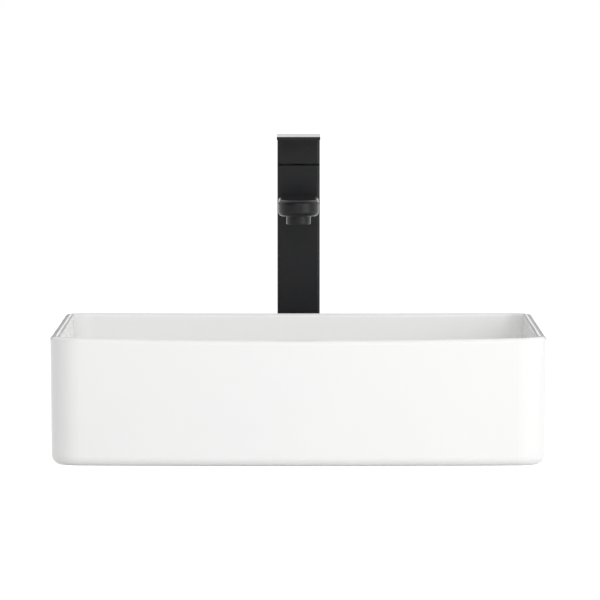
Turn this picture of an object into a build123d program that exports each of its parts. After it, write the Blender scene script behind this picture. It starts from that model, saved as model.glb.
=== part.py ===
from build123d import *
import os
from math import radians, tan

# A rectangular countertop basin with its push-button waste and a tall square mixer behind it.
# Millimetres. The origin is on the counter's top face, under the middle of the basin.
# +X is the user's right, +Y points from the user to the mixer, +Z is up.
os.makedirs("parts", exist_ok=True)

# Basin
basin_w = 480.0           # width at the rim
basin_d = 370.0           # depth at the rim, with the bow of the front
basin_h = 124.0           # height at the corners
corner_r = 30.0           # outer radius of the four upright corners
front_bow = 8.0           # how far the middle of the front stands before its ends
wall_t = 9.0              # wall at the rim
wall_draft = 0.55         # degrees that the outside leans in towards the foot
bowl_draft = 1.6          # degrees that the inside leans in towards the floor
rim_dip_front = 3.0       # how far the rim sinks in the middle of the front
rim_dip_back = 0.8        # and in the middle of the back
rim_edge_r = 3.6          # rounding of both edges of the rim
rim_slack = 0.5           # slack when the edges of the rim are picked by height
base_edge_r = 9.0         # rounding where the outside meets the counter
bowl_floor_z = 20.0       # floor of the bowl at the waste
bowl_floor_rise = 7.0     # rise of the floor from the waste to the left and right walls
bowl_floor_r = 16.0       # rounding between floor and walls
foot_w = 13.0             # land of the foot that rests on the counter
foot_h = 9.0              # height of the hollow under the basin
foot_inner_r = 3.0        # rounding inside that hollow
waste_boss_r = 45.0       # round land about the waste hole, level with the foot
waste_hole_r = 23.0
flange_seat_r = 33.5      # step in the floor that takes the waste's flange
flange_seat_depth = 2.5

# What it is fastened to
counter_t = 20.0          # counter between the basin and the washers below it
cut_margin = 10.0         # how far a cutting shape runs past what it cuts
hex_sides = 6
tiny = 0.01               # slack when edges are picked by place or radius

# Waste
flange_r = 32.0
flange_t = 3.0
flange_edge_r = 1.0
waste_gasket_t = 2.0
waste_thread_r = 20.95    # G 1 1/4 outside
waste_bore_r = 18.5
waste_tail_len = 64.0     # how far the tail reaches below the counter's top face
tail_thread_len = 25.0    # free thread at its end, for the trap
tail_groove_w = 2.0       # groove between that thread and the nut's
tail_groove_depth = 0.6
plug_seat_depth = 3.0     # depth of the cone in the flange that the plug seals on
plug_seat_flare = 3.6     # how much wider the cone is at its top than at its foot
spider_z = -16.0          # underside of the arms that carry the plug's cartridge
spider_arm_count = 3
spider_t = 6.0
spider_arm_w = 4.0
spider_hub_r = 7.5
plug_stud_r = 4.0
waste_washer_r = 31.0
waste_washer_t = 3.0
slip_washer_t = 2.0
waste_nut_t = 10.0
waste_nut_flats = 54.0    # across the flats
nut_edge = 1.2
thread_play = 0.05        # between a thread's outside and its nut
washer_play = 0.35        # between a washer and the thread it slides on
press_play = 0.02         # between a pressed or clamped pin and its seat

# Plug
plug_cap_r = 30.5
plug_cap_t = 2.2          # at the edge
plug_cap_crown = 2.2      # how much thicker it is in the middle
plug_cap_edge_r = 0.8
plug_gap = 0.3            # between the closed plug and the flange
plug_travel = 9.0
plug_seal_t = 2.6
plug_seal_inner_r = 12.0
plug_boss_r = 6.5
plug_boss_h = 4.5
plug_stem_r = 3.5
plug_collar_r = 5.2
plug_collar_t = 2.0
plug_housing_r = 7.5
plug_housing_bore_r = 5.6
plug_housing_top_z = 14.5
plug_housing_floor = 3.0  # thickness
plug_housing_lid = 2.0    # thickness of the neck that keeps the collar in
plug_stop = 1.0           # way left above the collar when the plug is up
slide_play = 0.1          # between a sliding stem and its guide
spring_wire_w = 1.1

# Mixer
tap_gap = 15.0            # from the back of the basin to the front of the column
tap_w = 44.0              # side of the square column
tap_edge_r = 3.0
tap_h = 306.5             # from the counter to the top of the lever plate
base_gasket_t = 1.5
base_gasket_inset = 0.8
cavity_w = 38.0
port_block_h = 18.0       # solid part of the column that carries the cartridge
cartridge_sink = 11.0     # from the top of the cartridge to the top of the column
column_rim = 0.5          # chamfer at the column's top
base_block_top_z = 26.0
socket_top_z = 10.0       # depth to which the shank is screwed in
shank_r = 16.5
shank_bore_r = 14.0
shank_tail_len = 50.0     # how far the shank reaches below the counter's top face
hose_port_r = 4.5         # tapped for the M10 hose ends
inlet_x = 7.2             # inlets, left and right of the axis
inlet_y = 2.5             # and behind it
inlet_r = 3.0
riser_r = 5.0
riser_wall = 1.0
riser_seat = 5.0          # depth of the riser's sockets
shank_washer_r = 26.0
shank_washer_t = 3.0
steel_washer_t = 1.6
shank_nut_r = 26.0
shank_nut_t = 9.0
nut_screw_r = 2.5
nut_screw_count = 3
nut_screw_head_r = 4.2
nut_screw_head_t = 3.0
nut_screw_socket_r = 1.7
nut_screw_socket_depth = 2.0

# Spout and aerator
spout_reach = 140.0       # from the front of the column
spout_w = 41.0
spout_t = 16.4
spout_drop = 47.0         # from the top of the column to the underside of the spout
spout_edge_r = 4.5
waterway_r = 4.5
outlet_y = 8.0            # outlet of the cartridge, in front of the axis
outlet_r = 3.5
spigot_r = 6.5
spigot_len = 3.5
aerator_r = 12.25
aerator_drop = 8.0        # how far it hangs below the spout
aerator_neck_r = 11.4
aerator_neck_h = 6.6
aerator_bore_r = 9.6
aerator_lip = 1.0         # width of the lip that holds the insert
aerator_lip_t = 1.4
aerator_edge_r = 0.8
aerator_washer_t = 2.0
aerator_socket_r = 11.5
insert_h = 9.0
insert_play = 0.1
insert_floor = 1.2
jet_r = 0.55
jet_pitch = 1.75

# Cartridge
cartridge_r = 17.5
cartridge_bore_r = 17.75
seal_t = 1.5
seal_r = 16.0
cartridge_base_t = 4.5
cartridge_inner_r = 15.0
cartridge_lid_t = 2.8
guide_opening_r = 11.2
fixed_disc_r = 14.8
fixed_disc_t = 3.5
moving_disc_r = 11.0
moving_disc_t = 3.45
disc_film = 0.05          # water film between the two discs
disc_pocket_w = 13.0      # mixing hollow in the moving disc
disc_pocket_l = 10.0
disc_pocket_h = 2.0
driver_t = 3.5
driver_socket_r = 2.7
driver_socket_floor = 0.6
guide_gap = 0.5           # between the driver and the lever guide
guide_play = 0.3
guide_neck_r = 10.9
guide_flange_t = 3.9
guide_rise = 6.0          # how far the lever guide stands out of the cartridge
guide_slot_l = 13.6
spindle_w = 7.0
spindle_play = 0.3
spindle_grip_h = 20.2     # how far the spindle reaches into the handle
spindle_foot = 6.4        # how far its square part reaches below the pivot
spindle_neck_r = 2.2
spindle_tip_gap = 0.6     # between the spindle's tip and the floor of its socket
spindle_tip_flat = 0.2    # left unrounded at the tip
pivot_rise = 2.0          # of the axis about which the lever lifts, over the cartridge
pivot_pin_r = 1.5
pivot_play = 0.05
nut_bore_r = 19.0
cartridge_nut_h = 8.0
cartridge_nut_opening_r = 13.0
nut_hex_flats = 28.0      # socket in the nut for its key
nut_hex_depth = 4.0
trim_cap_t = 2.6          # cap that hides the nut
trim_opening_r = 8.5      # way for the spindle through that cap
trim_edge = 0.8

# Handle
lift_angle = 20.0         # degrees that the lever lifts
seam_gap = 0.8            # between column and handle
handle_h = 27.2           # height of the cube, without the lever plate
handle_pocket_r = 16.0    # round hollow in its underside, about the boss
handle_roof = 2.0         # left of the cube above its hollow, under the plate
lever_t = 3.0
lever_len = 105.0         # from the back of the cube to the tip of the plate
lever_w = 44.6
lever_corner_r = 1.0
lever_edge_r = 0.6
handle_boss_r = 9.0
grip_screw_r = 2.5
grip_screw_len = 6.0
grip_screw_h = 15.2       # over the underside of the handle
grip_screw_socket_r = 1.3
grip_plug_len = 3.5

# Places worked out from the sizes
basin_back_y = basin_d / 2
basin_front_y = -basin_d / 2
flange_seat_z = bowl_floor_z - flange_seat_depth
flange_z = flange_seat_z + waste_gasket_t
flange_top_z = flange_z + flange_t
tap_y = basin_back_y + tap_gap + tap_w / 2
column_front_y = tap_y - tap_w / 2
lever_z = tap_h - lever_t
handle_z = lever_z - handle_h
column_top_z = handle_z - seam_gap
cartridge_body_top_z = column_top_z - cartridge_sink
guide_top_z = cartridge_body_top_z + guide_rise
guide_flange_top_z = cartridge_body_top_z - cartridge_lid_t - guide_play
guide_z = guide_flange_top_z - guide_flange_t
driver_z = guide_z - guide_gap - driver_t
moving_disc_z = driver_z - moving_disc_t
fixed_disc_z = moving_disc_z - disc_film - fixed_disc_t
cartridge_base_z = fixed_disc_z - cartridge_base_t
cartridge_seat_z = cartridge_base_z - seal_t
port_floor_z = cartridge_seat_z - port_block_h
pivot_z = cartridge_body_top_z + pivot_rise
spindle_top_z = handle_z + spindle_grip_h
spindle_square_z = pivot_z - spindle_foot
grip_screw_z = handle_z + grip_screw_h
spout_z = column_top_z - spout_drop
spout_mid_z = spout_z + spout_t / 2
spout_end_y = column_front_y - spout_reach + spout_w / 2


def ring(center_y, low_z, outer_r, inner_r, thickness):
    """A flat washer or gasket that lies about an upright axis."""
    with BuildPart() as washer:
        with BuildSketch(Plane((0, center_y, low_z))):
            Circle(outer_r)
            Circle(inner_r, mode=Mode.SUBTRACT)
        extrude(amount=thickness)
    return washer


def save(piece, name):
    """Label a finished piece and write its STEP file."""
    piece.part.label = name
    export_step(piece.part, f"parts/{name}.step")


def basin_plan(inset):
    """The basin's outline at its rim, drawn in by inset: straight back and sides, bowed front."""
    half_w = basin_w / 2
    corner_y = basin_front_y + front_bow
    with BuildSketch() as plan:
        with BuildLine():
            front = ThreePointArc((-half_w, corner_y), (0, basin_front_y), (half_w, corner_y))
            Polyline(front @ 1, (half_w, basin_back_y), (-half_w, basin_back_y), front @ 0)
        make_face()
        fillet(plan.vertices(), corner_r)
        if inset:
            offset(amount=-inset)
    return plan.sketch


# Bowl: the hollow of the basin as a solid. Its floor is part of a wide sphere that falls to the waste.
with BuildPart() as bowl:
    with BuildSketch(Plane.XY.offset(basin_h)):
        add(basin_plan(wall_t))
    extrude(amount=bowl_floor_z - basin_h, taper=bowl_draft)
    half_inside = basin_w / 2 - wall_t
    with BuildSketch(Plane.XZ):
        with BuildLine():
            reach_r = 2 * half_inside
            floor_arc = ThreePointArc(
                (-reach_r, bowl_floor_z + 4 * bowl_floor_rise),
                (0, bowl_floor_z),
                (reach_r, bowl_floor_z + 4 * bowl_floor_rise),
            )
            Polyline(floor_arc @ 1, (reach_r, 0), (-reach_r, 0), floor_arc @ 0)
        make_face()
        split(bisect_by=Plane.YZ)
    revolve(axis=Axis.Z, mode=Mode.SUBTRACT)
    floor_face = bowl.faces().sort_by(Axis.Z)[0]
    fillet(floor_face.edges(), bowl_floor_r)

# Basin
with BuildPart() as basin:
    with BuildSketch(Plane.XY.offset(basin_h)):
        add(basin_plan(0))
    extrude(amount=-basin_h, taper=wall_draft)
    fillet(basin.faces().sort_by(Axis.Z)[0].edges(), base_edge_r)
    add(bowl.part, mode=Mode.SUBTRACT)
    # hollow under the basin, round the land of the waste hole
    foot_inset = basin_h * tan(radians(wall_draft)) + base_edge_r + foot_w
    with BuildSketch(Plane.XY):
        add(basin_plan(foot_inset))
        Circle(waste_boss_r, mode=Mode.SUBTRACT)
    extrude(amount=foot_h, mode=Mode.SUBTRACT)
    fillet(basin.edges().filter_by_position(Axis.Z, foot_h - tiny, foot_h + tiny), foot_inner_r)
    # rim: lower in the middle of the front and of the back
    rim_half = basin_w / 2 + cut_margin
    front_cut = (basin_front_y - cut_margin, rim_dip_front)
    back_cut = (basin_back_y + cut_margin, rim_dip_back)
    for plane_y, dip in (front_cut, back_cut):
        rim_end_z = basin_h + dip * ((rim_half / (basin_w / 2)) ** 2 - 1)
        with BuildSketch(Plane.XZ.offset(-plane_y)):
            with BuildLine():
                rim_arc = ThreePointArc((-rim_half, rim_end_z), (0, basin_h - dip), (rim_half, rim_end_z))
                top_z = basin_h + cut_margin
                Polyline(rim_arc @ 1, (rim_half, top_z), (-rim_half, top_z), rim_arc @ 0)
            make_face()
    loft(mode=Mode.SUBTRACT)
    rim_low_z = basin_h - max(rim_dip_front, rim_dip_back)
    fillet(basin.edges().filter_by_position(Axis.Z, rim_low_z - rim_slack, basin_h + rim_slack), rim_edge_r)
    # seat of the flange and waste hole
    with BuildSketch(Plane.XY.offset(flange_seat_z)):
        Circle(flange_seat_r)
    extrude(amount=flange_seat_depth + cut_margin, mode=Mode.SUBTRACT)
    with Locations((0, 0, flange_seat_z)):
        Hole(radius=waste_hole_r)
save(basin, "basin")

# Waste body: flange with the cone of the plug, throat, and a tail with the outside thread drawn plain
plug_seat_top_r = waste_bore_r + plug_seat_flare
groove_z = tail_thread_len - waste_tail_len
with BuildPart() as waste_body:
    with BuildSketch(Plane.XZ):
        with BuildLine():
            Polyline(
                (waste_bore_r, -waste_tail_len),
                (waste_thread_r, -waste_tail_len),
                (waste_thread_r, groove_z),
                (waste_thread_r - tail_groove_depth, groove_z),
                (waste_thread_r - tail_groove_depth, groove_z + tail_groove_w),
                (waste_thread_r, groove_z + tail_groove_w),
                (waste_thread_r, flange_z),
                (flange_r, flange_z),
                (flange_r, flange_top_z),
                (plug_seat_top_r, flange_top_z),
                (waste_bore_r, flange_top_z - plug_seat_depth),
                close=True,
            )
        make_face()
    revolve(axis=Axis.Z)
    flange_circles = waste_body.edges().filter_by(GeomType.CIRCLE).group_by(Axis.Z)[-1]
    fillet(flange_circles.sort_by(SortBy.RADIUS)[-1], flange_edge_r)
    with BuildSketch(Plane.XY.offset(spider_z)):
        with PolarLocations(waste_bore_r / 2, spider_arm_count):
            Rectangle(waste_bore_r + flange_edge_r, spider_arm_w)
        Circle(spider_hub_r)
        Circle(plug_stud_r + thread_play, mode=Mode.SUBTRACT)
    extrude(amount=spider_t)
save(waste_body, "waste_body")

waste_washer_bore_r = waste_thread_r + washer_play
waste_top_gasket = ring(0, flange_seat_z, flange_r - flange_edge_r, waste_washer_bore_r, waste_gasket_t)
save(waste_top_gasket, "waste_top_gasket")

waste_washer_z = -counter_t - waste_washer_t
waste_rubber_washer = ring(0, waste_washer_z, waste_washer_r, waste_washer_bore_r, waste_washer_t)
save(waste_rubber_washer, "waste_rubber_washer")

slip_washer_z = waste_washer_z - slip_washer_t
waste_slip_washer = ring(0, slip_washer_z, waste_washer_r, waste_washer_bore_r, slip_washer_t)
save(waste_slip_washer, "waste_slip_washer")

with BuildPart() as waste_lock_nut:
    with BuildSketch(Plane.XY.offset(slip_washer_z - waste_nut_t)):
        RegularPolygon(waste_nut_flats / 2, hex_sides, major_radius=False)
    extrude(amount=waste_nut_t)
    chamfer(waste_lock_nut.faces().filter_by(Axis.Z).edges(), nut_edge)
    with Locations((0, 0, slip_washer_z)):
        Hole(radius=waste_thread_r + thread_play)
save(waste_lock_nut, "waste_lock_nut")

# Push plug: cap, seal, stem, and the cartridge that holds it up or down
plug_cap_z = flange_top_z + plug_gap
with BuildPart() as plug_cap:
    with BuildSketch(Plane.XZ):
        with BuildLine():
            cap_edge_z = plug_cap_z + plug_cap_t
            dome = TangentArc(
                (0, cap_edge_z + plug_cap_crown),
                (plug_cap_r, cap_edge_z),
                tangent=(1, 0),
            )
            Polyline(
                dome @ 1,
                (plug_cap_r, plug_cap_z),
                (plug_seal_inner_r, plug_cap_z),
                (plug_seal_inner_r, plug_cap_z - plug_seal_t),
                (plug_boss_r, plug_cap_z - plug_seal_t),
                (plug_boss_r, plug_cap_z - plug_boss_h),
                (plug_stem_r + thread_play, plug_cap_z - plug_boss_h),
                (plug_stem_r + thread_play, plug_cap_z),
                (0, plug_cap_z),
                dome @ 0,
            )
        make_face()
    revolve(axis=Axis.Z)
    cap_circles = plug_cap.edges().filter_by(GeomType.CIRCLE)
    fillet(cap_circles.filter_by(lambda e: e.radius > plug_cap_r - tiny), plug_cap_edge_r)
save(plug_cap, "plug_cap")

with BuildPart() as plug_seal:
    seat_slope = plug_seat_flare / plug_seat_depth
    seal_side_gap = plug_gap * (1 + seat_slope**2) ** 0.5
    seal_top_r = plug_seat_top_r + seat_slope * plug_gap - seal_side_gap
    with BuildSketch(Plane.XZ):
        with BuildLine():
            Polyline(
                (plug_seal_inner_r + thread_play, plug_cap_z),
                (seal_top_r, plug_cap_z),
                (seal_top_r - seat_slope * plug_seal_t, plug_cap_z - plug_seal_t),
                (plug_seal_inner_r + thread_play, plug_cap_z - plug_seal_t),
                close=True,
            )
        make_face()
    revolve(axis=Axis.Z)
save(plug_seal, "plug_seal")

housing_z = spider_z + spider_t
housing_floor_z = housing_z + plug_housing_floor
collar_top_z = plug_housing_top_z - plug_housing_lid - plug_stop - plug_travel
collar_z = collar_top_z - plug_collar_t
with BuildPart() as plug_stem:
    with BuildSketch(Plane.XY.offset(collar_z)):
        Circle(plug_stem_r)
    extrude(amount=plug_cap_z - collar_z)
    with BuildSketch(Plane.XY.offset(collar_z)):
        Circle(plug_collar_r)
    extrude(amount=plug_collar_t)
save(plug_stem, "plug_stem")

with BuildPart() as plug_housing:
    with BuildSketch(Plane.XZ):
        with BuildLine():
            Polyline(
                (0, spider_z),
                (plug_stud_r, spider_z),
                (plug_stud_r, housing_z),
                (plug_housing_r, housing_z),
                (plug_housing_r, plug_housing_top_z),
                (plug_stem_r + slide_play, plug_housing_top_z),
                (plug_stem_r + slide_play, plug_housing_top_z - plug_housing_lid),
                (plug_housing_bore_r, plug_housing_top_z - plug_housing_lid),
                (plug_housing_bore_r, housing_floor_z),
                (0, housing_floor_z),
                close=True,
            )
        make_face()
    revolve(axis=Axis.Z)
save(plug_housing, "plug_housing")

spring_r = plug_collar_r
plug_spring = ring(0, housing_floor_z, spring_r, spring_r - spring_wire_w, collar_z - housing_floor_z)
save(plug_spring, "plug_spring")

# Mixer column: square, hollow below, solid at the top where it takes the cartridge and the spout
with BuildPart() as tap_column:
    with BuildSketch(Plane((0, tap_y, base_gasket_t))):
        RectangleRounded(tap_w, tap_w, tap_edge_r)
    extrude(amount=column_top_z - base_gasket_t)
    chamfer(tap_column.faces().sort_by(Axis.Z)[-1].edges(), column_rim)
    with BuildSketch(Plane((0, tap_y, base_gasket_t))):
        Rectangle(cavity_w, cavity_w)
    extrude(amount=port_floor_z - base_gasket_t, mode=Mode.SUBTRACT)
    with Locations((0, tap_y, column_top_z)):
        CounterBoreHole(
            radius=cartridge_bore_r,
            counter_bore_radius=nut_bore_r,
            counter_bore_depth=column_top_z - cartridge_body_top_z,
            depth=column_top_z - cartridge_seat_z,
        )
    # inlets, with the sockets of the risers below them
    port_y = tap_y + inlet_y
    with Locations((-inlet_x, port_y, cartridge_seat_z), (inlet_x, port_y, cartridge_seat_z)):
        Hole(radius=inlet_r, depth=cartridge_seat_z - port_floor_z)
    with BuildSketch(Plane((0, port_y, port_floor_z))):
        with Locations((-inlet_x, 0), (inlet_x, 0)):
            Circle(riser_r + thread_play)
    extrude(amount=riser_seat, mode=Mode.SUBTRACT)
    # outlet, down from the cartridge and forward into the spout
    with Locations((0, tap_y - outlet_y, cartridge_seat_z)):
        Hole(radius=outlet_r, depth=cartridge_seat_z - spout_mid_z)
    with BuildSketch(Plane(origin=(0, column_front_y, spout_mid_z), x_dir=(1, 0, 0), z_dir=(0, -1, 0))):
        Circle(waterway_r)
    extrude(amount=outlet_y - tap_w / 2, mode=Mode.SUBTRACT)
    with BuildSketch(Plane(origin=(0, column_front_y, spout_mid_z), x_dir=(1, 0, 0), z_dir=(0, -1, 0))):
        Circle(spigot_r + thread_play)
    extrude(amount=-spigot_len, mode=Mode.SUBTRACT)
save(tap_column, "tap_column")

with BuildPart() as base_gasket:
    with BuildSketch(Plane((0, tap_y, 0))):
        gasket_w = tap_w - 2 * base_gasket_inset
        RectangleRounded(gasket_w, gasket_w, tap_edge_r - base_gasket_inset)
        Circle(shank_r + washer_play, mode=Mode.SUBTRACT)
    extrude(amount=base_gasket_t)
save(base_gasket, "base_gasket")

# Base block: closes the column's foot, takes the shank, the hose ends and the risers
with BuildPart() as base_block:
    with BuildSketch(Plane((0, tap_y, base_gasket_t))):
        block_w = cavity_w - 2 * thread_play
        Rectangle(block_w, block_w)
    extrude(amount=base_block_top_z - base_gasket_t)
    with BuildSketch(Plane((0, tap_y, base_gasket_t))):
        Circle(shank_r + thread_play)
    extrude(amount=socket_top_z - base_gasket_t, mode=Mode.SUBTRACT)
    with Locations((-inlet_x, port_y, base_block_top_z), (inlet_x, port_y, base_block_top_z)):
        CounterBoreHole(
            radius=hose_port_r,
            counter_bore_radius=riser_r + thread_play,
            counter_bore_depth=riser_seat,
            depth=base_block_top_z - socket_top_z,
        )
save(base_block, "base_block")

riser_z = base_block_top_z - riser_seat
for side, name in ((-1, "hot_riser_tube"), (1, "cold_riser_tube")):
    with BuildPart() as riser:
        with BuildSketch(Plane((side * inlet_x, port_y, riser_z))):
            Circle(riser_r)
            Circle(riser_r - riser_wall, mode=Mode.SUBTRACT)
        extrude(amount=port_floor_z + riser_seat - riser_z)
    save(riser, name)

threaded_shank = ring(tap_y, -shank_tail_len, shank_r, shank_bore_r, shank_tail_len + socket_top_z)
save(threaded_shank, "threaded_shank")

shank_washer_z = -counter_t - shank_washer_t
shank_rubber_washer = ring(tap_y, shank_washer_z, shank_washer_r, shank_r + washer_play, shank_washer_t)
save(shank_rubber_washer, "shank_rubber_washer")

steel_washer_z = shank_washer_z - steel_washer_t
shank_steel_washer = ring(tap_y, steel_washer_z, shank_washer_r, shank_r + washer_play, steel_washer_t)
save(shank_steel_washer, "shank_steel_washer")

nut_screw_pitch_r = (shank_r + shank_nut_r) / 2
with BuildPart() as shank_lock_nut:
    with BuildSketch(Plane((0, tap_y, steel_washer_z - shank_nut_t))):
        Circle(shank_nut_r)
        Circle(shank_r + thread_play, mode=Mode.SUBTRACT)
        with PolarLocations(nut_screw_pitch_r, nut_screw_count):
            Circle(nut_screw_r + thread_play, mode=Mode.SUBTRACT)
    extrude(amount=shank_nut_t)
    nut_circles = shank_lock_nut.edges().filter_by(GeomType.CIRCLE)
    chamfer(nut_circles.filter_by(lambda e: e.radius > shank_nut_r - tiny), nut_edge)
save(shank_lock_nut, "shank_lock_nut")

# Screws through the nut: their ends press on the steel washer
nut_screw_len = shank_nut_t + nut_screw_head_t
with BuildPart() as lock_nut_screws:
    with BuildSketch(Plane((0, tap_y, steel_washer_z))):
        with PolarLocations(nut_screw_pitch_r, nut_screw_count):
            Circle(nut_screw_r)
    extrude(amount=-nut_screw_len)
    with BuildSketch(Plane((0, tap_y, steel_washer_z - nut_screw_len))):
        with PolarLocations(nut_screw_pitch_r, nut_screw_count):
            Circle(nut_screw_head_r)
    extrude(amount=-nut_screw_head_t)
    with BuildSketch(Plane((0, tap_y, steel_washer_z - nut_screw_len - nut_screw_head_t))):
        with PolarLocations(nut_screw_pitch_r, nut_screw_count):
            RegularPolygon(nut_screw_socket_r, hex_sides)
    extrude(amount=nut_screw_socket_depth, mode=Mode.SUBTRACT)
save(lock_nut_screws, "lock_nut_screws")

# Spout: a flat bar with a round end, its spigot brazed into the column
spout_back = Plane(origin=(0, column_front_y, spout_mid_z), x_dir=(1, 0, 0), z_dir=(0, -1, 0))
with BuildPart() as tap_spout:
    with BuildSketch(Plane.XY.offset(spout_z)):
        with BuildLine():
            half_spout = spout_w / 2
            Polyline(
                (-half_spout, spout_end_y),
                (-half_spout, column_front_y),
                (half_spout, column_front_y),
                (half_spout, spout_end_y),
            )
            spout_tip = (0, spout_end_y - half_spout)
            ThreePointArc((half_spout, spout_end_y), spout_tip, (-half_spout, spout_end_y))
        make_face()
    extrude(amount=spout_t)
    flat_faces = tap_spout.faces().filter_by(Axis.Z)
    fillet(flat_faces.edges().filter_by(lambda e: e.center().Y < column_front_y - tiny), spout_edge_r)
    with BuildSketch(spout_back):
        Circle(spigot_r)
    extrude(amount=-spigot_len)
    with BuildSketch(spout_back.offset(-spigot_len)):
        Circle(waterway_r)
    extrude(amount=spigot_len + column_front_y - spout_end_y, mode=Mode.SUBTRACT)
    with BuildSketch(Plane((0, spout_end_y, spout_z))):
        Circle(aerator_socket_r)
    extrude(amount=aerator_neck_h + aerator_washer_t, mode=Mode.SUBTRACT)
save(tap_spout, "tap_spout")

# Aerator: housing screwed into the spout, with a perforated insert and a flat washer on top
aerator_z = spout_z - aerator_drop
aerator_axis = Axis((0, spout_end_y, 0), (0, 0, 1))
with BuildPart() as aerator_housing:
    with BuildSketch(Plane(origin=(0, spout_end_y, 0), x_dir=(1, 0, 0), z_dir=(0, -1, 0))):
        with BuildLine():
            Polyline(
                (aerator_bore_r - aerator_lip, aerator_z),
                (aerator_r, aerator_z),
                (aerator_r, spout_z),
                (aerator_neck_r, spout_z),
                (aerator_neck_r, spout_z + aerator_neck_h),
                (aerator_bore_r, spout_z + aerator_neck_h),
                (aerator_bore_r, aerator_z + aerator_lip_t),
                (aerator_bore_r - aerator_lip, aerator_z + aerator_lip_t),
                close=True,
            )
        make_face()
    revolve(axis=aerator_axis)
    aerator_circles = aerator_housing.edges().filter_by(GeomType.CIRCLE)
    fillet(aerator_circles.group_by(Axis.Z)[0].sort_by(SortBy.RADIUS)[-1], aerator_edge_r)
save(aerator_housing, "aerator_housing")

insert_r = aerator_bore_r - insert_play
jet_limit = insert_r - insert_floor - jet_r
jet_rows = int(jet_limit / jet_pitch)
jet_steps = [row * jet_pitch for row in range(-jet_rows, jet_rows + 1)]
jets = [(x, y) for x in jet_steps for y in jet_steps if x * x + y * y < jet_limit**2]
with BuildPart() as aerator_insert:
    with BuildSketch(Plane((0, spout_end_y, aerator_z + aerator_lip_t))):
        Circle(insert_r)
        with Locations(*jets):
            Circle(jet_r, mode=Mode.SUBTRACT)
    extrude(amount=insert_floor)
    with BuildSketch(Plane((0, spout_end_y, aerator_z + aerator_lip_t + insert_floor))):
        Circle(insert_r)
        Circle(insert_r - insert_floor, mode=Mode.SUBTRACT)
    extrude(amount=insert_h - insert_floor)
save(aerator_insert, "aerator_insert")

aerator_washer = ring(
    spout_end_y,
    spout_z + aerator_neck_h,
    aerator_neck_r - insert_play,
    aerator_bore_r - aerator_lip,
    aerator_washer_t,
)
save(aerator_washer, "aerator_washer")


def ported_disc(low_z, radius, thickness):
    """A disc of the cartridge with its two inlets and its outlet."""
    with BuildPart() as disc:
        with BuildSketch(Plane((0, tap_y, low_z))):
            Circle(radius)
            with Locations((-inlet_x, inlet_y), (inlet_x, inlet_y)):
                Circle(inlet_r, mode=Mode.SUBTRACT)
            with Locations((0, -outlet_y)):
                Circle(outlet_r, mode=Mode.SUBTRACT)
        extrude(amount=thickness)
    return disc


save(ported_disc(cartridge_seat_z, seal_r, seal_t), "cartridge_base_seals")
save(ported_disc(cartridge_base_z, cartridge_r, cartridge_base_t), "cartridge_base")
save(ported_disc(fixed_disc_z, fixed_disc_r, fixed_disc_t), "fixed_disc")

with BuildPart() as cartridge_body:
    with BuildSketch(Plane((0, tap_y, fixed_disc_z))):
        Circle(cartridge_r)
    extrude(amount=cartridge_body_top_z - fixed_disc_z)
    with BuildSketch(Plane((0, tap_y, fixed_disc_z))):
        Circle(cartridge_inner_r)
    extrude(amount=cartridge_body_top_z - cartridge_lid_t - fixed_disc_z, mode=Mode.SUBTRACT)
    with Locations((0, tap_y, cartridge_body_top_z)):
        Hole(radius=guide_opening_r)
save(cartridge_body, "cartridge_body")

with BuildPart() as moving_disc:
    with BuildSketch(Plane((0, tap_y, moving_disc_z))):
        Circle(moving_disc_r)
    extrude(amount=moving_disc_t)
    with BuildSketch(Plane((0, tap_y, moving_disc_z))):
        RectangleRounded(disc_pocket_w, disc_pocket_l, inlet_r)
    extrude(amount=disc_pocket_h, mode=Mode.SUBTRACT)
save(moving_disc, "moving_disc")

with BuildPart() as disc_driver:
    with BuildSketch(Plane((0, tap_y, driver_z))):
        Circle(moving_disc_r)
    extrude(amount=driver_t)
    with Locations((0, tap_y, driver_z + driver_t)):
        Hole(radius=driver_socket_r, depth=driver_t - driver_socket_floor)
save(disc_driver, "disc_driver")

# Lever guide: turns in the cartridge, and the pin across it carries the spindle
pivot_plane = Plane(origin=(0, tap_y, pivot_z), x_dir=(0, 1, 0), z_dir=(1, 0, 0))
with BuildPart() as lever_guide:
    with BuildSketch(Plane((0, tap_y, guide_z))):
        Circle(cartridge_inner_r - guide_play)
    extrude(amount=guide_flange_top_z - guide_z)
    with BuildSketch(Plane((0, tap_y, guide_flange_top_z))):
        Circle(guide_neck_r)
    extrude(amount=guide_top_z - guide_flange_top_z)
    with BuildSketch(Plane((0, tap_y, guide_z))):
        Rectangle(spindle_w + 2 * spindle_play, guide_slot_l)
    extrude(amount=guide_top_z - guide_z, mode=Mode.SUBTRACT)
    with BuildSketch(pivot_plane):
        Circle(pivot_pin_r + press_play)
    extrude(amount=guide_neck_r, both=True, mode=Mode.SUBTRACT)
save(lever_guide, "lever_guide")

with BuildPart() as pivot_pin:
    with BuildSketch(pivot_plane):
        Circle(pivot_pin_r)
    extrude(amount=guide_neck_r - spindle_play, both=True)
save(pivot_pin, "pivot_pin")

with BuildPart() as lever_spindle:
    with BuildSketch(Plane((0, tap_y, spindle_square_z))):
        Rectangle(spindle_w, spindle_w)
    extrude(amount=spindle_top_z - spindle_square_z)
    spindle_tip_z = driver_z + driver_socket_floor + spindle_tip_gap
    with BuildSketch(Plane((0, tap_y, spindle_tip_z))):
        Circle(spindle_neck_r)
    extrude(amount=spindle_square_z - spindle_tip_z)
    fillet(lever_spindle.faces().sort_by(Axis.Z)[0].edges(), spindle_neck_r - spindle_tip_flat)
    with BuildSketch(pivot_plane):
        Circle(pivot_pin_r + pivot_play)
    extrude(amount=spindle_w, both=True, mode=Mode.SUBTRACT)
save(lever_spindle, "lever_spindle")

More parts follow.
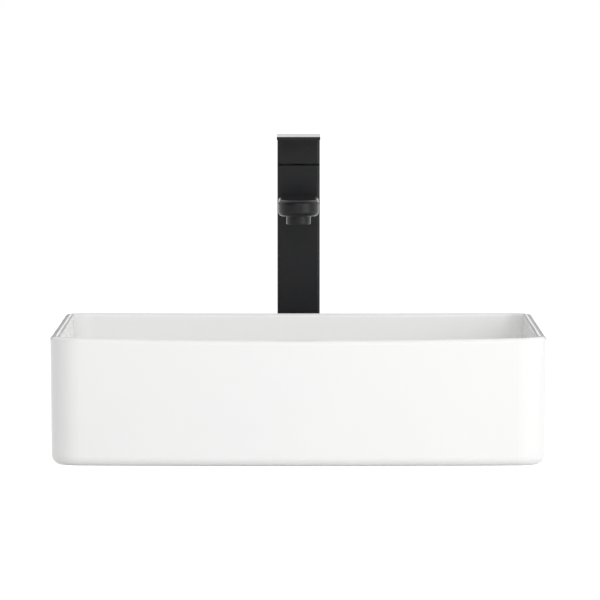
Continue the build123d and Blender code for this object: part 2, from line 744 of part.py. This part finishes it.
with BuildPart() as cartridge_nut:
    with BuildSketch(Plane((0, tap_y, cartridge_body_top_z))):
        Circle(nut_bore_r - thread_play)
        Circle(cartridge_nut_opening_r, mode=Mode.SUBTRACT)
    extrude(amount=cartridge_nut_h)
    with BuildSketch(Plane((0, tap_y, cartridge_body_top_z + cartridge_nut_h))):
        RegularPolygon(nut_hex_flats / 2, hex_sides, major_radius=False)
    extrude(amount=-nut_hex_depth, mode=Mode.SUBTRACT)
save(cartridge_nut, "cartridge_nut")

with BuildPart() as trim_cap:
    with BuildSketch(Plane((0, tap_y, cartridge_body_top_z + cartridge_nut_h))):
        Circle(nut_bore_r - thread_play)
        Circle(trim_opening_r, mode=Mode.SUBTRACT)
    extrude(amount=trim_cap_t)
    chamfer(trim_cap.faces().sort_by(Axis.Z)[-1].edges(), trim_edge)
save(trim_cap, "trim_cap")

# Lever handle: one casting, a hollow cube with a flat plate that reaches forward.
# Behind the pivot its underside slopes up, so that it comes level with the column when it is lifted.
handle_half = tap_w / 2
with BuildPart() as lever_handle:
    with BuildSketch(Plane((0, tap_y, handle_z))):
        RectangleRounded(tap_w, tap_w, tap_edge_r)
    extrude(amount=handle_h)
    with BuildSketch(Plane((0, tap_y + handle_half - lever_len / 2, lever_z))):
        RectangleRounded(lever_w, lever_len, lever_corner_r)
    extrude(amount=lever_t)
    fillet(lever_handle.faces().sort_by(Axis.Z)[-1].edges(), lever_edge_r)
    with BuildSketch(Plane((0, tap_y, handle_z))):
        Circle(handle_pocket_r)
        Circle(handle_boss_r, mode=Mode.SUBTRACT)
    extrude(amount=handle_h - handle_roof, mode=Mode.SUBTRACT)
    # slope of the underside
    slope_y = tap_y - (handle_z - pivot_z) * tan(radians(lift_angle / 2))
    slope_end_y = tap_y + handle_half + cut_margin
    slope_rise = (slope_end_y - slope_y) * tan(radians(lift_angle))
    with BuildSketch(Plane.YZ):
        with BuildLine():
            Polyline(
                (slope_y, handle_z),
                (slope_y, handle_z - cut_margin),
                (slope_end_y, handle_z - cut_margin),
                (slope_end_y, handle_z + slope_rise),
                close=True,
            )
        make_face()
    extrude(amount=tap_w, both=True, mode=Mode.SUBTRACT)
    # socket of the spindle and hole of the screw that grips it
    with BuildSketch(Plane((0, tap_y, handle_z))):
        Rectangle(spindle_w + 2 * press_play, spindle_w + 2 * press_play)
    extrude(amount=spindle_top_z - handle_z, mode=Mode.SUBTRACT)
    with BuildSketch(Plane(origin=(0, tap_y, grip_screw_z), x_dir=(-1, 0, 0), z_dir=(0, 1, 0))):
        Circle(grip_screw_r + thread_play)
    extrude(amount=handle_half + cut_margin, mode=Mode.SUBTRACT)
save(lever_handle, "lever_handle")

grip_screw_plane = Plane(origin=(0, tap_y + spindle_w / 2, grip_screw_z), x_dir=(-1, 0, 0), z_dir=(0, 1, 0))
with BuildPart() as handle_set_screw:
    with BuildSketch(grip_screw_plane):
        Circle(grip_screw_r)
    extrude(amount=grip_screw_len)
    with BuildSketch(grip_screw_plane.offset(grip_screw_len)):
        RegularPolygon(grip_screw_socket_r, hex_sides)
    extrude(amount=-grip_screw_len / 2, mode=Mode.SUBTRACT)
save(handle_set_screw, "handle_set_screw")

with BuildPart() as set_screw_plug:
    with BuildSketch(Plane(origin=(0, tap_y + handle_half, grip_screw_z), x_dir=(-1, 0, 0), z_dir=(0, 1, 0))):
        Circle(grip_screw_r)
    extrude(amount=-grip_plug_len)
save(set_screw_plug, "set_screw_plug")
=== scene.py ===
from math import cos, pi, radians, sin

import bmesh
import bpy
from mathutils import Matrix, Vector


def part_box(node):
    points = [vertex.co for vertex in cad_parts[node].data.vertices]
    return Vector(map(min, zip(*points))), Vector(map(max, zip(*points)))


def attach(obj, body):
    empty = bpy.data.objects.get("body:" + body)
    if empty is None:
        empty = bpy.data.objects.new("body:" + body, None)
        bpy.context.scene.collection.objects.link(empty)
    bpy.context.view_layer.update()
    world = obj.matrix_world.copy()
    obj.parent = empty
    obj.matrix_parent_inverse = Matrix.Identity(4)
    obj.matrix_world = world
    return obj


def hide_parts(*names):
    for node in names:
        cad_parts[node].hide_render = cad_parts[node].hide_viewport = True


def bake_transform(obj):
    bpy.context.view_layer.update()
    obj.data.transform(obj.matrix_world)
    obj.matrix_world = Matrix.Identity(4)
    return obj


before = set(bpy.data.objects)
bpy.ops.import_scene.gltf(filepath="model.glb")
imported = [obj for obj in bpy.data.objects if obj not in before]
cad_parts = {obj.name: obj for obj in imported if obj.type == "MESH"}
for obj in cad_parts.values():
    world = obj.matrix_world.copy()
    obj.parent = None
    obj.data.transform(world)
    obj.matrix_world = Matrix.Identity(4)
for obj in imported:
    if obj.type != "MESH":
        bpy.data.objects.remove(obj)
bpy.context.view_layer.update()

# Places and lengths are in metres, on the frame's axes.
MM = 0.001
waste_center = (0.0, 0.0, 0.0)
column_low, column_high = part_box("tap_column")
tap_center = (0.0, (column_low.y + column_high.y) / 2, 0.0)


# Nodes that the materials share

def new_material(name, color, roughness, metallic=0.0, specular=0.5):
    """A node material with its plain numbers set on the shader's own sockets."""
    material = bpy.data.materials.new(name)
    material.use_nodes = True
    tree = material.node_tree
    shader = tree.nodes["Principled BSDF"]
    shader.inputs["Base Color"].default_value = (*color, 1.0)
    shader.inputs["Roughness"].default_value = roughness
    shader.inputs["Metallic"].default_value = metallic
    shader.inputs["Specular IOR Level"].default_value = specular
    return material, tree, shader


def coordinates(tree, center=(0.0, 0.0, 0.0), scale=(1.0, 1.0, 1.0)):
    """Object coordinates in metres, measured from center and then stretched."""
    source = tree.nodes.new("ShaderNodeTexCoord").outputs["Object"]
    mapping = tree.nodes.new("ShaderNodeMapping")
    mapping.vector_type = "POINT"
    mapping.inputs["Location"].default_value = [-c * s for c, s in zip(center, scale)]
    mapping.inputs["Scale"].default_value = scale
    tree.links.new(source, mapping.inputs["Vector"])
    return mapping.outputs["Vector"]


def noise(tree, vector, lump, detail=2.0):
    """Noise from 0 to 1, whose lumps are about as many metres across as lump says."""
    node = tree.nodes.new("ShaderNodeTexNoise")
    node.inputs["Scale"].default_value = 1.0 / lump
    node.inputs["Detail"].default_value = detail
    tree.links.new(vector, node.inputs["Vector"])
    return node.outputs["Fac"]


def spread(tree, factor, low, high, from_low=0.3, from_high=0.7):
    """Stretches a factor to run from low to high, and holds it there beyond from_low and from_high."""
    node = tree.nodes.new("ShaderNodeMapRange")
    node.inputs["From Min"].default_value = from_low
    node.inputs["From Max"].default_value = from_high
    node.inputs["To Min"].default_value = low
    node.inputs["To Max"].default_value = high
    tree.links.new(factor, node.inputs["Value"])
    return node.outputs["Result"]


def mix_colors(tree, factor, low, high):
    """A colour between low and high, which are colours or outputs of nodes."""
    node = tree.nodes.new("ShaderNodeMix")
    node.data_type = "RGBA"
    tree.links.new(factor, node.inputs["Factor"])
    for socket, value in ((node.inputs["A"], low), (node.inputs["B"], high)):
        if isinstance(value, tuple):
            socket.default_value = (*value, 1.0)
        else:
            tree.links.new(value, socket)
    return node.outputs["Result"]


def add_bump(tree, shader, height, depth):
    """Bump whose full height is depth metres. A second call lies over the first."""
    node = tree.nodes.new("ShaderNodeBump")
    node.inputs["Distance"].default_value = depth
    tree.links.new(height, node.inputs["Height"])
    normal = shader.inputs["Normal"]
    if normal.is_linked:
        tree.links.new(normal.links[0].from_socket, node.inputs["Normal"])
    tree.links.new(node.outputs["Normal"], normal)


def calculate(tree, operation, first, second=None):
    """A maths node. Each input is a number or the output of a node."""
    node = tree.nodes.new("ShaderNodeMath")
    node.operation = operation
    for socket, value in zip(node.inputs, (first, second)):
        if isinstance(value, (int, float)):
            socket.default_value = value
        elif value is not None:
            tree.links.new(value, socket)
    return node.outputs["Value"]


def split_height(tree, vector):
    """The height of a point, in metres."""
    node = tree.nodes.new("ShaderNodeSeparateXYZ")
    tree.links.new(vector, node.inputs["Vector"])
    return node.outputs["Z"]


def axis_distance(tree, vector):
    """How far a point is from the upright axis through the coordinates' centre."""
    flat = tree.nodes.new("ShaderNodeVectorMath")
    flat.operation = "MULTIPLY"
    flat.inputs[1].default_value = (1.0, 1.0, 0.0)
    tree.links.new(vector, flat.inputs[0])
    length = tree.nodes.new("ShaderNodeVectorMath")
    length.operation = "LENGTH"
    tree.links.new(flat.outputs["Vector"], length.inputs[0])
    return length.outputs["Value"]


def tool_marks(tree, distance, pitch):
    """Fine grooves a pitch apart, like those that a lathe leaves."""
    return calculate(tree, "SINE", calculate(tree, "MULTIPLY", distance, 2 * pi / pitch))


# Materials

def glaze():
    """White gloss glaze, bare and matt where the foot stands on the counter."""
    cool_white, warm_white = (0.890, 0.892, 0.888), (0.905, 0.904, 0.898)
    clay_dark, clay_light = (0.70, 0.68, 0.63), (0.80, 0.78, 0.74)
    gloss_low, gloss_high, bare_roughness = 0.05, 0.09, 0.85
    bare_to, glazed_from = 0.35 * MM, 0.6 * MM
    material, tree, shader = new_material("glaze", (0.90, 0.90, 0.895), 0.07)
    vector = coordinates(tree)
    body = mix_colors(tree, spread(tree, noise(tree, vector, lump=0.12), 0.0, 1.0), cool_white, warm_white)
    clay = mix_colors(tree, noise(tree, vector, lump=0.6 * MM), clay_dark, clay_light)
    bare = spread(tree, split_height(tree, vector), 1.0, 0.0, bare_to, glazed_from)
    tree.links.new(mix_colors(tree, bare, body, clay), shader.inputs["Base Color"])
    gloss = spread(tree, noise(tree, vector, lump=0.03), gloss_low, gloss_high)
    roughness = tree.nodes.new("ShaderNodeMix")
    roughness.inputs["B"].default_value = bare_roughness
    tree.links.new(bare, roughness.inputs["Factor"])
    tree.links.new(gloss, roughness.inputs["A"])
    tree.links.new(roughness.outputs["Result"], shader.inputs["Roughness"])
    add_bump(tree, shader, noise(tree, vector, lump=0.018, detail=1.0), depth=0.10 * MM)
    add_bump(tree, shader, noise(tree, vector, lump=0.9 * MM), depth=0.004 * MM)
    return material


def powder_coat():
    """Matt black coat: a fine even grain with a faint soft sheen, glossier at a glancing angle."""
    deep_black, pale_black = (0.0055, 0.0058, 0.0072), (0.0080, 0.0083, 0.0102)
    matt_low, matt_high = 0.30, 0.36
    glance_share = 0.35       # the share of that roughness left at a glancing angle
    glance_from, glance_to = 0.75, 0.98
    seam_z = column_high.z + 0.4 * MM
    seam_half, seam_fade = 1.0 * MM, 0.2 * MM
    material, tree, shader = new_material("powder_coat", (0.007, 0.007, 0.008), 0.33, specular=0.30)
    vector = coordinates(tree)
    shade = spread(tree, noise(tree, vector, lump=1.5 * MM, detail=3.0), 0.0, 1.0)
    color = mix_colors(tree, shade, deep_black, pale_black)
    tree.links.new(color, shader.inputs["Base Color"])
    matt = spread(tree, noise(tree, vector, lump=5 * MM, detail=3.0), matt_low, matt_high)
    facing = tree.nodes.new("ShaderNodeLayerWeight").outputs["Facing"]
    glance = spread(tree, facing, 1.0, glance_share, glance_from, glance_to)
    sheen = calculate(tree, "MULTIPLY", matt, glance)
    # the faces inside the seam under the handle are left dull
    above_seam = calculate(tree, "SUBTRACT", split_height(tree, vector), seam_z)
    from_seam = calculate(tree, "ABSOLUTE", above_seam)
    dull = spread(tree, from_seam, 1.0, 0.0, seam_half, seam_half + seam_fade)
    tree.links.new(calculate(tree, "MAXIMUM", sheen, dull), shader.inputs["Roughness"])
    add_bump(tree, shader, noise(tree, vector, lump=0.35 * MM), depth=0.012 * MM)
    return material


def turned_metal(name, dark, light, roughness, pitch, center):
    """Metal from the lathe: rings on its faces and on its sides."""
    polished, dulled = 0.8 * roughness, 1.3 * roughness
    mark_depth = 0.003 * MM
    material, tree, shader = new_material(name, light, roughness, metallic=1.0)
    vector = coordinates(tree, center)
    stain = spread(tree, noise(tree, vector, lump=9 * MM, detail=3.0), 0.0, 1.0)
    tree.links.new(mix_colors(tree, stain, dark, light), shader.inputs["Base Color"])
    patches = noise(tree, vector, lump=3 * MM, detail=3.0)
    tree.links.new(spread(tree, patches, polished, dulled), shader.inputs["Roughness"])
    add_bump(tree, shader, tool_marks(tree, axis_distance(tree, vector), pitch), mark_depth)
    add_bump(tree, shader, tool_marks(tree, split_height(tree, vector), pitch), mark_depth)
    return material


def drawn_tube():
    """Copper tube with the faint lengthwise lines of drawing."""
    dark, light = (0.66, 0.33, 0.21), (0.84, 0.46, 0.31)
    squeeze = 0.02            # draws the lines out along the tube
    material, tree, shader = new_material("drawn_copper", (0.80, 0.42, 0.28), 0.28, metallic=1.0)
    vector = coordinates(tree, scale=(1.0, 1.0, squeeze))
    lines = noise(tree, vector, lump=0.5 * MM)
    tree.links.new(mix_colors(tree, lines, dark, light), shader.inputs["Base Color"])
    add_bump(tree, shader, lines, depth=0.004 * MM)
    return material


def rubber():
    """Black moulded rubber with a dry bloom."""
    dark, light = (0.014, 0.014, 0.015), (0.032, 0.032, 0.033)
    bare_roughness, bloom_roughness = 0.65, 0.85
    material, tree, shader = new_material("moulded_rubber", (0.02, 0.02, 0.02), 0.75, specular=0.4)
    vector = coordinates(tree)
    bloom = spread(tree, noise(tree, vector, lump=4 * MM, detail=4.0), 0.0, 1.0)
    tree.links.new(mix_colors(tree, bloom, dark, light), shader.inputs["Base Color"])
    roughness = spread(tree, bloom, bare_roughness, bloom_roughness, from_low=0.0, from_high=1.0)
    tree.links.new(roughness, shader.inputs["Roughness"])
    add_bump(tree, shader, noise(tree, vector, lump=0.25 * MM), depth=0.01 * MM)
    return material


def plastic(name, dark, light, roughness):
    """Moulded plastic with a spark-eroded grain."""
    glossy, matt = 0.85 * roughness, 1.15 * roughness
    material, tree, shader = new_material(name, light, roughness)
    vector = coordinates(tree)
    shade = spread(tree, noise(tree, vector, lump=8 * MM), 0.0, 1.0)
    tree.links.new(mix_colors(tree, shade, dark, light), shader.inputs["Base Color"])
    patches = noise(tree, vector, lump=2 * MM)
    tree.links.new(spread(tree, patches, glossy, matt), shader.inputs["Roughness"])
    add_bump(tree, shader, noise(tree, vector, lump=0.2 * MM), depth=0.006 * MM)
    return material


def lapped_ceramic():
    """Technical ceramic, lapped flat, with a hint of the lapping's fine scratches."""
    dark, light = (0.80, 0.77, 0.70), (0.90, 0.88, 0.82)
    lapped, scratched = 0.18, 0.30
    material, tree, shader = new_material("lapped_ceramic", (0.86, 0.83, 0.76), 0.22)
    vector = coordinates(tree)
    shade = noise(tree, vector, lump=3 * MM, detail=3.0)
    tree.links.new(mix_colors(tree, shade, dark, light), shader.inputs["Base Color"])
    roughness = spread(tree, noise(tree, vector, lump=0.4 * MM), lapped, scratched)
    tree.links.new(roughness, shader.inputs["Roughness"])
    add_bump(tree, shader, noise(tree, vector, lump=0.3 * MM), depth=0.001 * MM)
    return material


brass_dark, brass_light = (0.52, 0.37, 0.16), (0.78, 0.60, 0.30)
stain_dark, stain_light = (0.05, 0.04, 0.025), (0.10, 0.08, 0.05)
steel_dark, steel_light = (0.48, 0.48, 0.49), (0.66, 0.66, 0.67)
brass_roughness, stain_roughness, steel_roughness = 0.24, 0.5, 0.22
brass_pitch, steel_pitch = 0.35 * MM, 0.25 * MM    # between the marks of the lathe

black = powder_coat()
black_rubber = rubber()
grey_plastic = plastic("grey_plastic", (0.15, 0.16, 0.17), (0.21, 0.22, 0.23), 0.42)
white_plastic = plastic("white_plastic", (0.70, 0.70, 0.68), (0.80, 0.80, 0.78), 0.36)
disc_ceramic = lapped_ceramic()
waste_brass = turned_metal("waste_brass", brass_dark, brass_light, brass_roughness, brass_pitch, waste_center)
tap_brass = turned_metal("tap_brass", brass_dark, brass_light, brass_roughness, brass_pitch, tap_center)
dark_brass = turned_metal("dark_brass", stain_dark, stain_light, stain_roughness, brass_pitch, tap_center)
tap_steel = turned_metal("tap_steel", steel_dark, steel_light, steel_roughness, steel_pitch, tap_center)
waste_steel = turned_metal("waste_steel", steel_dark, steel_light, steel_roughness, steel_pitch, waste_center)
copper = drawn_tube()

finishes = (
    (glaze(), ("basin",)),
    (black, (
        "waste_body", "plug_cap", "tap_column", "tap_spout", "aerator_housing", "trim_cap", "lever_handle",
    )),
    (black_rubber, (
        "waste_top_gasket", "waste_rubber_washer", "plug_seal", "base_gasket", "shank_rubber_washer",
        "aerator_washer", "cartridge_base_seals", "set_screw_plug",
    )),
    (white_plastic, ("waste_slip_washer", "plug_housing", "cartridge_body")),
    (grey_plastic, ("aerator_insert", "cartridge_base", "disc_driver", "lever_guide")),
    (disc_ceramic, ("fixed_disc", "moving_disc")),
    (waste_brass, ("waste_lock_nut",)),
    (tap_brass, ("base_block", "threaded_shank", "shank_lock_nut", "cartridge_nut")),
    (dark_brass, ("lever_spindle",)),
    (tap_steel, ("shank_steel_washer", "lock_nut_screws", "pivot_pin", "handle_set_screw")),
    (waste_steel, ("plug_stem", "plug_spring")),
    (copper, ("hot_riser_tube", "cold_riser_tube")),
)
for material, names in finishes:
    for name in names:
        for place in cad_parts[name].material_slots:
            place.material = material


# Tools that the new pieces and the stage share

def add_object(name, data):
    """Puts a mesh, a lamp or a camera in the scene."""
    thing = bpy.data.objects.new(name, data)
    bpy.context.scene.collection.objects.link(thing)
    return thing


def join_loops(bm, loops):
    """Faces between each loop of corners and the next."""
    for one, other in zip(loops, loops[1:]):
        for here in range(len(one)):
            after = (here + 1) % len(one)
            bm.faces.new((one[here], one[after], other[after], other[here]))


def lathe(bm, rings, center, segments):
    """A closed shell of rings (height, radius), where the radius may be a function of the angle."""
    loops = []
    for height, radius in rings:
        loop = []
        for step in range(segments):
            turn = 2 * pi * step / segments
            reach = radius(turn) if callable(radius) else radius
            corner = (center[0] + reach * cos(turn), center[1] + reach * sin(turn), height)
            loop.append(bm.verts.new(corner))
        loops.append(loop)
    join_loops(bm, loops + loops[:1])


def thread_rings(low, high, crest, depth, pitch, runout):
    """Rings of a rounded right-hand thread from low to high, whose groove fades out at both ends."""
    rings_per_turn = 8

    def radius_at(height):
        fade = min(1.0, (height - low) / runout, (high - height) / runout)
        return lambda turn: crest - depth * fade * (0.5 - 0.5 * cos(2 * pi * height / pitch - turn))

    count = round((high - low) / pitch * rings_per_turn)
    heights = [low + (high - low) * step / count for step in range(count + 1)]
    return [(height, radius_at(height)) for height in heights]


def add_box(bm, center, size, turn):
    """A box with its middle at center, then turned about the upright axis through the origin."""
    for corner in bmesh.ops.create_cube(bm, size=1.0)["verts"]:
        x, y, z = (c + s * v for c, s, v in zip(center, size, corner.co))
        corner.co = (x * cos(turn) - y * sin(turn), x * sin(turn) + y * cos(turn), z)


def finish_mesh(bm, name, material, sharp_angle=40.0):
    """Turns a bmesh into a mesh with outward faces, smooth but for its sharp edges."""
    bmesh.ops.recalc_face_normals(bm, faces=bm.faces)
    mesh = bpy.data.meshes.new(name)
    bm.to_mesh(mesh)
    bm.free()
    mesh.shade_smooth()
    mesh.set_sharp_from_angle(angle=radians(sharp_angle))
    mesh.materials.append(material)
    return mesh


# Pieces that replace plain nodes

def waste_with_thread():
    """The waste body of the frame with its G 1 1/4 thread cut, in place of the plain one."""
    low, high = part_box("waste_body")
    flange_r, flange_t = 32.0 * MM, 3.0 * MM
    edge, edge_steps = 1.0 * MM, 5
    chamfer = 0.3 * MM
    bore, seat_r, seat_depth = 18.5 * MM, 21.8 * MM, 3.0 * MM
    crest, depth, pitch = 20.95 * MM, 1.1 * MM, 2.309 * MM
    lead_in, lead_height = 1.6 * MM, 0.8 * MM
    groove_low, groove_high, groove_depth = -39.0 * MM, -37.0 * MM, 0.6 * MM
    trap_thread_top, trap_runout = -39.5 * MM, 1.2 * MM
    nut_thread_low, nut_thread_top, nut_runout = -36.6 * MM, 8.0 * MM, 2.0 * MM
    arm_count, arm_w = 3, 4.0 * MM
    arm_start, arm_end = 4.5 * MM, 18.7 * MM
    hub_low, hub_high = -16.0 * MM, -10.0 * MM
    hub_bore, hub_r = 4.1 * MM, 7.5 * MM

    bm = bmesh.new()
    flange_z = high.z - flange_t
    rings = [(low.z, bore + chamfer), (low.z, crest - lead_in)]
    rings += thread_rings(low.z + lead_height, trap_thread_top, crest, depth, pitch, trap_runout)
    rings += [(groove_low, crest - groove_depth), (groove_high, crest - groove_depth)]
    rings += thread_rings(nut_thread_low, nut_thread_top, crest, depth, pitch, nut_runout)
    rings += [(flange_z, crest), (flange_z, flange_r - chamfer), (flange_z + chamfer, flange_r)]
    for step in range(edge_steps + 1):
        turn = pi / 2 * step / edge_steps
        rings.append((high.z - edge + edge * sin(turn), flange_r - edge + edge * cos(turn)))
    rings += [(high.z, seat_r + 2 * chamfer), (high.z - chamfer, seat_r), (high.z - seat_depth, bore)]
    rings += [(low.z + chamfer, bore)]
    lathe(bm, rings, waste_center, segments=96)

    arm_center = ((arm_start + arm_end) / 2, 0.0, (hub_low + hub_high) / 2)
    arm_size = (arm_end - arm_start, arm_w, hub_high - hub_low)
    for arm in range(arm_count):
        add_box(bm, arm_center, arm_size, turn=2 * pi * arm / arm_count)
    hub = [(hub_low, hub_bore), (hub_low, hub_r), (hub_high, hub_r), (hub_high, hub_bore)]
    lathe(bm, hub, waste_center, segments=48)

    name = "waste_body_threaded"
    piece = add_object(name, finish_mesh(bm, name, black))
    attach(piece, "root")
    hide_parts("waste_body")


def shank_with_thread():
    """The hollow shank of the mixer with its M33 x 1.5 thread cut, in place of the plain one."""
    low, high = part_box("threaded_shank")
    bore, chamfer = 14.0 * MM, 0.6 * MM
    crest, depth, pitch, runout = 16.5 * MM, 0.8 * MM, 1.5 * MM, 1.0 * MM
    lead_in, lead_height = 1.0 * MM, 0.8 * MM

    bm = bmesh.new()
    rings = [(low.z + chamfer, bore), (low.z, bore + chamfer), (low.z, crest - lead_in)]
    rings += thread_rings(low.z + lead_height, high.z - lead_height, crest, depth, pitch, runout)
    rings += [(high.z, crest - chamfer), (high.z, bore)]
    lathe(bm, rings, tap_center, segments=72)

    name = "threaded_shank_cut"
    piece = add_object(name, finish_mesh(bm, name, tap_brass))
    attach(piece, "root")
    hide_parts("threaded_shank")


def coil_spring():
    """The spring in the plug's cartridge, wound from round wire."""
    low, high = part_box("plug_spring")
    wire_r = 0.55 * MM
    coil_r = (high.x - low.x) / 2 - wire_r
    coils, flat_coils = 5.0, 0.75      # flat_coils lie level at each end
    lean = 0.15 * wire_r               # how far the open coils lean to the middle
    per_coil, around = 36, 10
    climb = high.z - low.z - 2 * wire_r

    bm = bmesh.new()
    loops = []
    count = int(coils * per_coil)
    for step in range(count + 1):
        along = step / count
        turn = 2 * pi * coils * along
        rise = min(max((along * coils - flat_coils) / (coils - 2 * flat_coils), 0.0), 1.0)
        from_end = min(along, 1.0 - along) * coils
        toward_middle = lean * min(from_end, 1.0) * (1.0 - abs(2 * rise - 1.0))
        wire_z = low.z + wire_r + climb * rise + (toward_middle if along < 0.5 else -toward_middle)
        out = Vector((cos(turn), sin(turn), 0.0))
        middle = out * coil_r + Vector((0.0, 0.0, wire_z))
        loop = []
        for side in range(around):
            angle = 2 * pi * side / around
            up = Vector((0.0, 0.0, wire_r * sin(angle)))
            loop.append(bm.verts.new(middle + out * (wire_r * cos(angle)) + up))
        loops.append(loop)
    join_loops(bm, loops)
    bm.faces.new(loops[0])
    bm.faces.new(reversed(loops[-1]))

    name = "plug_spring_coil"
    piece = add_object(name, finish_mesh(bm, name, waste_steel, sharp_angle=60.0))
    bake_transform(piece)
    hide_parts("plug_spring")


waste_with_thread()
shank_with_thread()
coil_spring()


# Stage: floor, light and camera

look_at = Vector((0.0, 0.0, 0.12))    # the middle of the object, where the lamps point

# The camera of the photograph: far off with a long lens, a little above the rim and almost square to it.
camera_place = (0.004, -4.985, 0.475)
camera_pitch = 3.7444         # degrees that it looks down
camera_yaw = -0.028           # degrees that it looks to the right
camera_lens = 301.0           # millimetres
camera_sensor = 36.0          # millimetres
camera_reach = 100.0

floor_half = 60.0
floor_color = (0.80, 0.80, 0.80, 1.0)
floor_glow = 0.72             # what is seen on top of the lamps' light on the floor
world_light = 0.58            # the even light on the object, where the white background is 1
sheet_edge = (0.030, 0.046)   # where the white sheet ends, as a share of the distance
studio_edge = (0.50, 0.90)    # and where the darker studio ends
studio_top = 0.35             # sine of its height over the horizon
studio_tone = 0.30
least_ahead = 0.001           # keeps the camera's side out of the studio
room_edge = (-0.30, 0.10)     # where the room behind the camera gives way to the white studio
room_tone = 0.20


def seen_rays(tree):
    """1 for the rays that see the background: straight, in a reflection or through glass."""
    rays = tree.nodes.new("ShaderNodeLightPath").outputs
    straight_or_gloss = calculate(tree, "MAXIMUM", rays["Is Camera Ray"], rays["Is Glossy Ray"])
    return calculate(tree, "MAXIMUM", straight_or_gloss, rays["Is Transmission Ray"])


def floor():
    """A pale floor at the counter's height. It isn't drawn from below, so the pieces under it can be seen."""
    corners = [(x * floor_half, y * floor_half, 0.0) for x, y in ((-1, -1), (1, -1), (1, 1), (-1, 1))]
    mesh = bpy.data.meshes.new("floor")
    mesh.from_pydata(corners, [], [(0, 1, 2, 3)])
    plane = add_object("floor", mesh)
    material = bpy.data.materials.new("floor")
    material.use_nodes = True
    tree = material.node_tree
    tree.nodes.clear()
    diffuse = tree.nodes.new("ShaderNodeBsdfDiffuse")
    diffuse.inputs["Color"].default_value = floor_color
    glow = tree.nodes.new("ShaderNodeEmission")
    tree.links.new(calculate(tree, "MULTIPLY", seen_rays(tree), floor_glow), glow.inputs["Strength"])
    both = tree.nodes.new("ShaderNodeAddShader")
    tree.links.new(diffuse.outputs["BSDF"], both.inputs[0])
    tree.links.new(glow.outputs["Emission"], both.inputs[1])
    clear = tree.nodes.new("ShaderNodeBsdfTransparent")
    sides = tree.nodes.new("ShaderNodeMixShader")
    tree.links.new(tree.nodes.new("ShaderNodeNewGeometry").outputs["Backfacing"], sides.inputs["Fac"])
    tree.links.new(both.outputs["Shader"], sides.inputs[1])
    tree.links.new(clear.outputs["BSDF"], sides.inputs[2])
    output = tree.nodes.new("ShaderNodeOutputMaterial")
    tree.links.new(sides.outputs["Shader"], output.inputs["Surface"])
    mesh.materials.append(material)


def surroundings():
    """White where it is seen, and a dimmer even light on the object.

    The white sheet behind the object is a narrow one. Gloss shows the darker studio on both sides of it,
    and the dark room behind the camera."""
    world = bpy.data.worlds.new("surroundings")
    bpy.context.scene.world = world
    world.use_nodes = True
    tree = world.node_tree
    background = tree.nodes["Background"]
    background.inputs["Color"].default_value = (1.0, 1.0, 1.0, 1.0)
    direction = tree.nodes.new("ShaderNodeSeparateXYZ")
    tree.links.new(tree.nodes.new("ShaderNodeTexCoord").outputs["Generated"], direction.inputs["Vector"])
    x, y, z = (direction.outputs[axis] for axis in "XYZ")
    ahead = calculate(tree, "MAXIMUM", y, least_ahead)
    aside = calculate(tree, "ABSOLUTE", calculate(tree, "DIVIDE", x, ahead))
    past_sheet = spread(tree, aside, 0.0, 1.0, *sheet_edge)
    within_studio = spread(tree, aside, 1.0, 0.0, *studio_edge)
    below_top = calculate(tree, "LESS_THAN", z, studio_top)
    dark = calculate(tree, "MULTIPLY", calculate(tree, "MULTIPLY", past_sheet, within_studio), below_top)
    studio = calculate(tree, "SUBTRACT", 1.0, calculate(tree, "MULTIPLY", dark, 1.0 - studio_tone))
    tone = calculate(tree, "MULTIPLY", studio, spread(tree, y, room_tone, 1.0, *room_edge))
    gloss = tree.nodes.new("ShaderNodeLightPath").outputs["Is Glossy Ray"]
    loss = calculate(tree, "MULTIPLY", calculate(tree, "SUBTRACT", 1.0, tone), gloss)
    strength = spread(tree, seen_rays(tree), world_light, 1.0, from_low=0.0, from_high=1.0)
    shown = calculate(tree, "MULTIPLY", strength, calculate(tree, "SUBTRACT", 1.0, loss))
    tree.links.new(shown, background.inputs["Strength"])


def soft_box(name, azimuth, elevation, distance, size, power):
    """A square lamp that looks at the middle of the object. Azimuth 0 is in front, 90 on the right."""
    lamp = bpy.data.lights.new(name, "AREA")
    lamp.shape = "SQUARE"
    lamp.size = size
    lamp.energy = power
    box = add_object(name, lamp)
    turn, rise = radians(azimuth), radians(elevation)
    toward = Vector((sin(turn) * cos(rise), -cos(turn) * cos(rise), sin(rise)))
    box.location = look_at + toward * distance
    box.rotation_mode = "QUATERNION"
    box.rotation_quaternion = toward.to_track_quat("Z", "Y")


def photo_camera():
    """The camera of the photograph, which has pitch and yaw but no roll."""
    data = bpy.data.cameras.new("camera")
    data.lens = camera_lens
    data.sensor_width = camera_sensor
    data.clip_end = camera_reach
    camera = add_object("camera", data)
    camera.location = camera_place
    camera.rotation_euler = (radians(90.0 - camera_pitch), 0.0, radians(-camera_yaw))
    bpy.context.scene.camera = camera


floor()
surroundings()
soft_box("key", azimuth=46.0, elevation=17.0, distance=2.6, size=1.9, power=25.5)
soft_box("front", azimuth=0.0, elevation=27.0, distance=3.2, size=1.8, power=18.0)
photo_camera()
bpy.context.scene.view_settings.view_transform = "Standard"
